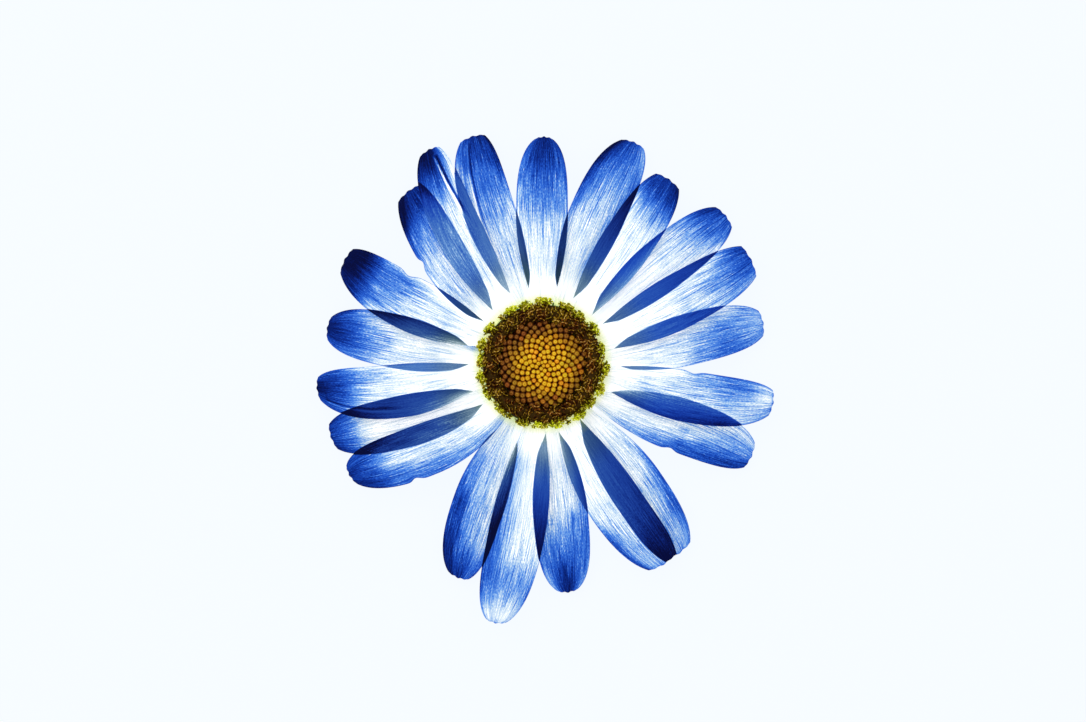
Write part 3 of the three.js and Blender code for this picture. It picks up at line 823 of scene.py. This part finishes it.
# A small open floret, a few dozen faces: a flaring tube, five lobes and two curled style tips.
# Its third value is how bright each point is: painted shade low down, lighter towards the tips.
def floretShape():
    turn = np.linspace(0, 2 * np.pi, 5, endpoint=False)
    x, y, flat = np.cos(turn), np.sin(turn), np.ones(5)
    points = np.concatenate([np.stack([r * x, r * y, flat * h], -1) for r, h in floret["tube"]])
    bright = np.repeat(floret["tubeBright"], 5).tolist()
    faces = gridFaces(3, 5, wrap=True).tolist()
    faces.append([4, 3, 2, 1, 0])
    for lobe in range(5):
        one, other = 10 + lobe, 10 + (lobe + 1) % 5
        middle = turn[lobe] + np.pi / 5
        out = np.array([np.cos(middle), np.sin(middle), 0.0])
        across = np.array([-np.sin(middle), np.cos(middle), 0.0])
        start = len(points)
        flap = [out * away + across * beside + [0, 0, up] for away, beside, up in floret["lobe"]]
        points = np.concatenate([points, flap])
        bright += floret["lobeBright"]
        faces += [[one, other, start + 1, start], [start, start + 1, start + 2]]
        faces += [[one, start, start + 1, other], [start, start + 2, start + 1]]
    for fork in (-1, 1):
        start = len(points)
        for (x, y, z), thick in zip(floret["style"], floret["styleThick"]):
            left, right = x * fork - thick / 2, x * fork + thick
            ring = [(right, y, z), (left, y + thick, z), (left, y - thick, z)]
            points = np.concatenate([points, ring])
        bright += np.repeat(floret["styleBright"], 3).tolist()
        faces += gridFaces(len(floret["style"]), 3, wrap=True, first=start).tolist()
        faces.append([start + 9, start + 10, start + 11])
    return points, faces, np.array(bright)


# A closed ring round the axis: an outline of radii and heights, turned all the way.
def ringShape(outline, around):
    turn = np.linspace(0, 360, around, endpoint=False)
    radii, heights = np.array(outline).T[:, :, None]
    points = polar(radii, turn, heights).reshape(-1, 3)
    faces = gridFaces(len(outline) + 1, around, wrap=True) % len(points)
    return points, faces[:, ::-1].tolist()


# Makes one piece of open florets and the ring that carries them. Each point carries how bright it
# is (painted shade in the hollows and on the ring, lighter tips), "ripe" how brown its floret and
# "lime" how fresh.
def addFlorets(name, places, tone, lime, carrier, material, nodes):
    points, faces, bright = floretShape()
    ring = ringShape(carrier["ring"], floret["ringSides"])
    fresh = lime[:, None] + floret["lobeLime"] * bright
    values = {"crown": (bright, 0.15), "ripe": (tone[:, None], 0.5)}
    values["lime"] = (fresh, carrier["ringLime"])
    addCluster(name, (points, faces), places, ring, values, material, nodes)


# Open florets spread evenly over a ring, by the golden angle, leaning further out further out.
def buildOpenFlorets(material):
    count = opened["count"]
    index = np.arange(count)
    share = (index + 0.5) / count
    inner, outer = opened["inner"], opened["outer"]
    radius = np.sqrt(inner**2 + (outer**2 - inner**2) * share)
    off, around, out, aside = opened["wander"]
    radius = radius + wander(off, count) * (1 + ease(share, 0.6, 1))
    azimuth = index * golden + wander(around, count)
    turn = np.radians(opened["leanOuter"] * share + wander(out, count))
    axes = polar(np.sin(turn), azimuth, np.cos(turn))
    axes = axes + polar(wander(aside, count), azimuth + 90, 0)
    rise = opened["footHigh"] - opened["footLow"]
    height = opened["footHigh"] - rise * share ** opened["footPower"]
    feet = polar(radius, azimuth, height + random.uniform(*opened["heights"], count))
    sizes = opened["size"] * random.uniform(*floret["sizes"], count)
    tone = random.uniform(0, 1, count)
    lime = ease(radius, *opened["limeSpan"]) * opened["lime"] + random.uniform(-0.15, 0.12, count)
    places = (feet, axes, index * opened["spin"], sizes)
    slot, nodes = "floret_brown", ["open_florets"]
    addFlorets("openFlorets", places, tone, lime, opened, material, nodes)


# Floret colours from the hollow between lobes, dark as painted shade, to the style's tips,
# light partly as their own straw colour and partly as a painted highlight.
floretColors = {
    "brown": [
        (0.0, 26, 6, 0), (0.25, 54, 18, 1), (0.45, 92, 46, 4), (0.7, 136, 86, 16),
        (1.0, 206, 156, 84),
    ],
    "green": [
        (0.0, 58, 46, 1), (0.25, 112, 112, 4), (0.5, 178, 184, 14), (0.75, 218, 224, 46),
        (1.0, 244, 246, 130),
    ],
}


# Floret skin: dark brown in the hollows, olive and straw on the lobes, and lime at the rim.
# Emission paints a glow: dim brown on the brown florets that lifts their shade, and lime at the
# rim.
def makeFloretMaterial():
    constants = {"Specular IOR Level": 0.08, "Emission Strength": 0.4}
    material, start, feed = newMaterial("floretSkin", constants)
    place = start.add("ShaderNodeTexCoord", {}, {}, out=3)
    crown, ripe, lime = start.attributes("crown", "ripe", "lime")
    mottle = start.noise(place, 3200, 2)
    level = crown * 0.85 + (mottle - 0.5) * 0.25 + (ripe - 0.5) * 0.45
    brown, green = (level.ramp(stops(floretColors[name])) for name in ("brown", "green"))
    fresh = lime.band(0, 1)
    dim = brown.tinted((0.7, 0.7, 0.7, 1))
    feed("Base Color", start.mix(fresh, brown, green))
    # Painted glow, dim brown on the brown florets and lime on the fresh ones.
    feed("Emission Color", start.mix(fresh.band(0.35, 0.8), dim, green))
    feed("Roughness", 0.45 + mottle * 0.3)
    feed("Normal", mottle.bump(0.25, 0.0001))
    return material


# Rim florets: clumps that lean out over the petals' feet.
rim = {
    "start": 3,  # azimuth of the first clump
    "clumpWander": 5,
    "reaches": (-0.35, 0.12),
    "wander": 0.08,
    "bow": 0.06,  # how much further in a clump's outer florets stand
    "clumps": 20,
    "each": 4,
    "inner": 7.56,
    "lean": 66,
    "size": 0.37,
    "height": 6.5,
    "pitch": 1.9,  # degrees between a clump's florets
    "fan": 12,  # degrees that each of them turns from the next
    "leans": (-24, 10),
    "heights": (-0.05, 0.25),
    "sizes": (0.85, 1.15),
    "limes": (0.35, 1.0),
    "spins": (31.0, 50),  # from clump to clump and from floret to floret
    "ring": [(6.5, 6.02), (7.2, 6.02), (7.3, 6.25), (7.2, 6.5), (6.5, 6.55)],
    "ringLime": 0.3,
}


# Rim florets stand in clumps at even azimuths, each clump in a shallow bow that fans out.
def buildRimFlorets(material):
    clumps, each = rim["clumps"], rim["each"]
    count = clumps * each
    clump = np.repeat(np.arange(clumps), each)
    member = np.tile(np.arange(each), clumps) - (each - 1) / 2
    offset = wander(rim["clumpWander"], clumps)[clump]
    azimuth = clump * 360 / clumps + rim["start"] + offset + member * rim["pitch"]
    reach = random.uniform(*rim["reaches"], clumps)[clump]
    radius = rim["inner"] + reach - rim["bow"] * member**2 + wander(rim["wander"], count)
    turn = np.radians(rim["lean"] + random.uniform(*rim["leans"], count))
    axes = polar(np.sin(turn), azimuth + member * rim["fan"], np.cos(turn))
    feet = polar(radius, azimuth, rim["height"] + random.uniform(*rim["heights"], count))
    sizes = rim["size"] * random.uniform(*rim["sizes"], count)
    tone = random.uniform(0, 1, count)
    lime = random.uniform(*rim["limes"], count)
    byClump, byFloret = rim["spins"]
    places = (feet, axes, clump * byClump + member * byFloret, sizes)
    slot, nodes = "floret_lime", ["rim_florets"]
    addFlorets("rimFlorets", places, tone, lime, rim, material, nodes)


floretMaterial = makeFloretMaterial()
buildOpenFlorets(floretMaterial)
buildRimFlorets(floretMaterial)
print("open and rim florets built")

# Green cup: the receptacle with its flush-cut stem, under rows of overlapping bracts.
cup = {
    "flatRadius": 2.8,
    "rimRadius": 7.75,
    "rimHeight": 3.45,
    "profileSteps": 14,
    "around": 72,
    "foot": [(0.9, 0.05), (2.2, 0.03), (2.5, 0.0)],  # a shallow dish, where the stem was cut
    "footMiddle": 0.09,
    "seat": [(7.05, 3.5), (7.0, 4.65), (6.25, 4.75), (5.9, 5.0), (3.0, 5.2)],
    "seatMiddle": 5.28,
}
bract = {
    "along": 9,
    "across": 7,
    "rootWidth": 0.55,  # as a share of the width
    "margin": 0.03,
    "tipPower": 3.5,
    "dome": 0.16,
    "tipLift": 0.1,
    "thick": (0.14, 0, -0.06),  # how far the inner side lies inwards, round and up
    "turnPerRow": 0.37,
}
bractRows = [
    {"count": 13, "start": 0.1, "end": 0.55, "width": 1.9, "lift": 0.16},
    {"count": 17, "start": 0.26, "end": 0.74, "width": 1.9, "lift": 0.13},
    {"count": 21, "start": 0.45, "end": 0.9, "width": 1.9, "lift": 0.1},
    {"count": 24, "start": 0.62, "end": 1.04, "width": 1.8, "lift": 0.06},
]


# The cup's flank: a quarter ellipse from the flat underside to the rim.
def flank(share):
    turn = share * np.pi / 2
    radius = cup["flatRadius"] + (cup["rimRadius"] - cup["flatRadius"]) * np.sin(turn)
    return radius, cup["rimHeight"] * (1 - np.cos(turn))


# A bract: a lance-shaped scale laid along the flank. Its width swells as a sine and ends as a
# root, it is domed as a square across, and it thins to its papery edge.
def bractShape(row, azimuth):
    steps = np.linspace(0, 1, bract["along"])
    share, side = np.meshgrid(steps, np.linspace(-1, 1, bract["across"]), indexing="ij")
    radius, height = flank(row["start"] + (row["end"] - row["start"]) * share)
    swell = (1 - bract["rootWidth"]) * np.sin(np.pi * np.clip(share * 1.25, 0, 1))
    half = row["width"] / 2 * (bract["rootWidth"] + swell)
    half = half * (1 - share ** bract["tipPower"]) ** 0.5 + bract["margin"]
    lift = row["lift"] + bract["dome"] * (1 - side**2) * (1 - 0.5 * share)
    lift = lift + bract["tipLift"] * share
    turned = azimuth + np.degrees(side * half / radius)
    outer = np.stack([radius + lift, turned, height - lift * 0.45], -1)
    inner = outer - np.array(bract["thick"]) * (1 - 0.4 * side[..., None] ** 2)
    both = np.stack([outer, inner])
    points = polar(both[..., 0], both[..., 1], np.maximum(both[..., 2], 0.02))
    rib = np.stack([np.abs(side), np.abs(side)])
    return points.reshape(-1, 3), rib.ravel(), np.stack([share, share]).ravel()


# The cup is turned from its foot, flank and seat, and each bract is a slab between two grids.
def buildInvolucre(material):
    radius, height = flank(np.linspace(0, 1, cup["profileSteps"]))
    outline = cup["foot"] + list(zip(radius, height)) + cup["seat"]
    body, faces = turnedShape(outline, cup["around"], cup["footMiddle"], cup["seatMiddle"])
    ribs, shares = [np.full(len(body), 0.3)], [np.full(len(body), 0.4)]
    blocks, start = [body], len(body)
    along, across = bract["along"], bract["across"]
    loop = outlineLoop(along, across)
    onward = np.roll(loop, -1)
    count = along * across
    walls = np.stack([loop, onward, onward + count, loop + count], -1)
    outer = gridFaces(along, across)[:, ::-1]
    scale = np.concatenate([outer, gridFaces(along, across, first=count), walls])
    for level, row in enumerate(bractRows):
        for n in range(row["count"]):
            azimuth = 360 * (n + bract["turnPerRow"] * level) / row["count"]
            points, rib, share = bractShape(row, azimuth)
            blocks.append(points)
            ribs.append(rib)
            shares.append(share)
            faces = faces + (scale + start).tolist()
            start += len(points)
    values = {"rib": np.concatenate(ribs), "share": np.concatenate(shares)}
    points = np.concatenate(blocks)
    addPiece("bractCup", points, faces, material, ["involucre"], values)


# Colours across a bract from its midrib to its edge, and over the cut stem from its middle out.
bractColors = {
    "blade": [
        (0.0, 150, 178, 92), (0.18, 88, 124, 48), (0.62, 72, 104, 40), (0.8, 96, 78, 36),
        (0.95, 150, 122, 74),
    ],
    "stem": [
        (0.0, 214, 222, 176), (0.5, 196, 208, 150), (0.68, 120, 146, 72), (0.74, 190, 200, 140),
        (0.88, 96, 128, 56), (1.0, 84, 118, 46),
    ],
    "tip": tint(84, 58, 30),
    "deep": tint(40, 66, 26),
}


# Bract skin: green with a paler midrib, brown papery margins and a pale, ringed cut stem.
def makeBractMaterial():
    material, start, feed = newMaterial("bractSkin", {"Specular IOR Level": 0.3})
    place = start.add("ShaderNodeTexCoord", {}, {}, out=3)
    rib, share = start.attributes("rib", "share")
    mottle = start.noise(place, 900, 3)
    fine = start.noise(place, 4200, 2)
    color = (rib + (fine - 0.5) * 0.25).ramp(stops(bractColors["blade"]))
    color = start.mix(share.band(0.78, 1.0), color, bractColors["tip"])
    deep = start.mix(0.35, color, bractColors["deep"])
    green = start.mix(mottle.band(0.35, 0.7), color, deep)
    split = start.add("ShaderNodeSeparateXYZ", {}, {"Vector": place}).socket.node
    x, y, z = (Wire(start.tree, socket) for socket in split.outputs)
    out = (x * x + y * y).math("SQRT") * 1000 + (fine - 0.5) * 0.35
    pith = out.band(0, 3).ramp(stops(bractColors["stem"]))
    aboveCut = z.band(0.00012, 0.0002)
    feed("Base Color", start.mix(aboveCut, pith, green))
    feed("Roughness", 0.5 + mottle * 0.25)
    feed("Normal", (fine + mottle * 0.5).bump(0.3, 0.00015))
    return material


buildInvolucre(makeBractMaterial())
print("involucre built")

# Pale floor, soft studio light and a camera that looks straight down, as in the photograph.
studio = {
    "pixelsPerMm": 8.0,
    "frameWidth": 1086,
    "cameraHeight": 0.6,
    "faceHeight": 0.005,
    "headFromCentre": (-1.0, -3.0),  # pixels right and up from the picture's centre
    "floorSize": 1.2,
    "floorGlow": 0.972,
    "worldLight": 0.8,
    "keyPower": 1.1,
    "keySize": 0.5,
    "keyPlace": (-0.25, 0.3, 0.55),
    "keyTurn": (-30, -24),
}


def buildStudio():
    half = studio["floorSize"] / 2
    mesh = bpy.data.meshes.new("floor")
    corners = [(-half, -half, 0), (half, -half, 0), (half, half, 0), (-half, half, 0)]
    mesh.from_pydata(corners, [], [(0, 1, 2, 3)])
    floor = addObject("floor", mesh)
    constants = {"Roughness": 0.9, "Specular IOR Level": 0.05, "Base Color": tint(60, 62, 64)}
    constants["Emission Color"] = tint(245, 250, 255)
    constants["Emission Strength"] = studio["floorGlow"]
    mesh.materials.append(newMaterial("paleFloor", constants)[0])
    world = bpy.data.worlds.new("studio")
    world.use_nodes = True
    background = world.node_tree.nodes["Background"].inputs
    background["Color"].default_value = (1, 1, 1, 1)
    background["Strength"].default_value = studio["worldLight"]
    bpy.context.scene.world = world
    lamp = bpy.data.lights.new("key", "AREA")
    lamp.energy = studio["keyPower"]
    lamp.size = studio["keySize"]
    key = addObject("key", lamp)
    key.location = studio["keyPlace"]
    key.rotation_euler[:2] = [math.radians(turn) for turn in studio["keyTurn"]]


def buildCamera():
    camera = bpy.data.cameras.new("camera")
    view = addObject("camera", camera)
    right, up = studio["headFromCentre"]
    scale = mm / studio["pixelsPerMm"]
    view.location = (-right * scale, -up * scale, studio["cameraHeight"])
    seen = studio["frameWidth"] * scale
    camera.sensor_width = 36
    camera.lens = 36 * (studio["cameraHeight"] - studio["faceHeight"]) / seen
    camera.clip_start = 0.01
    bpy.context.scene.camera = view


buildStudio()
buildCamera()
bpy.context.scene.view_settings.view_transform = "Standard"
print("studio ready")
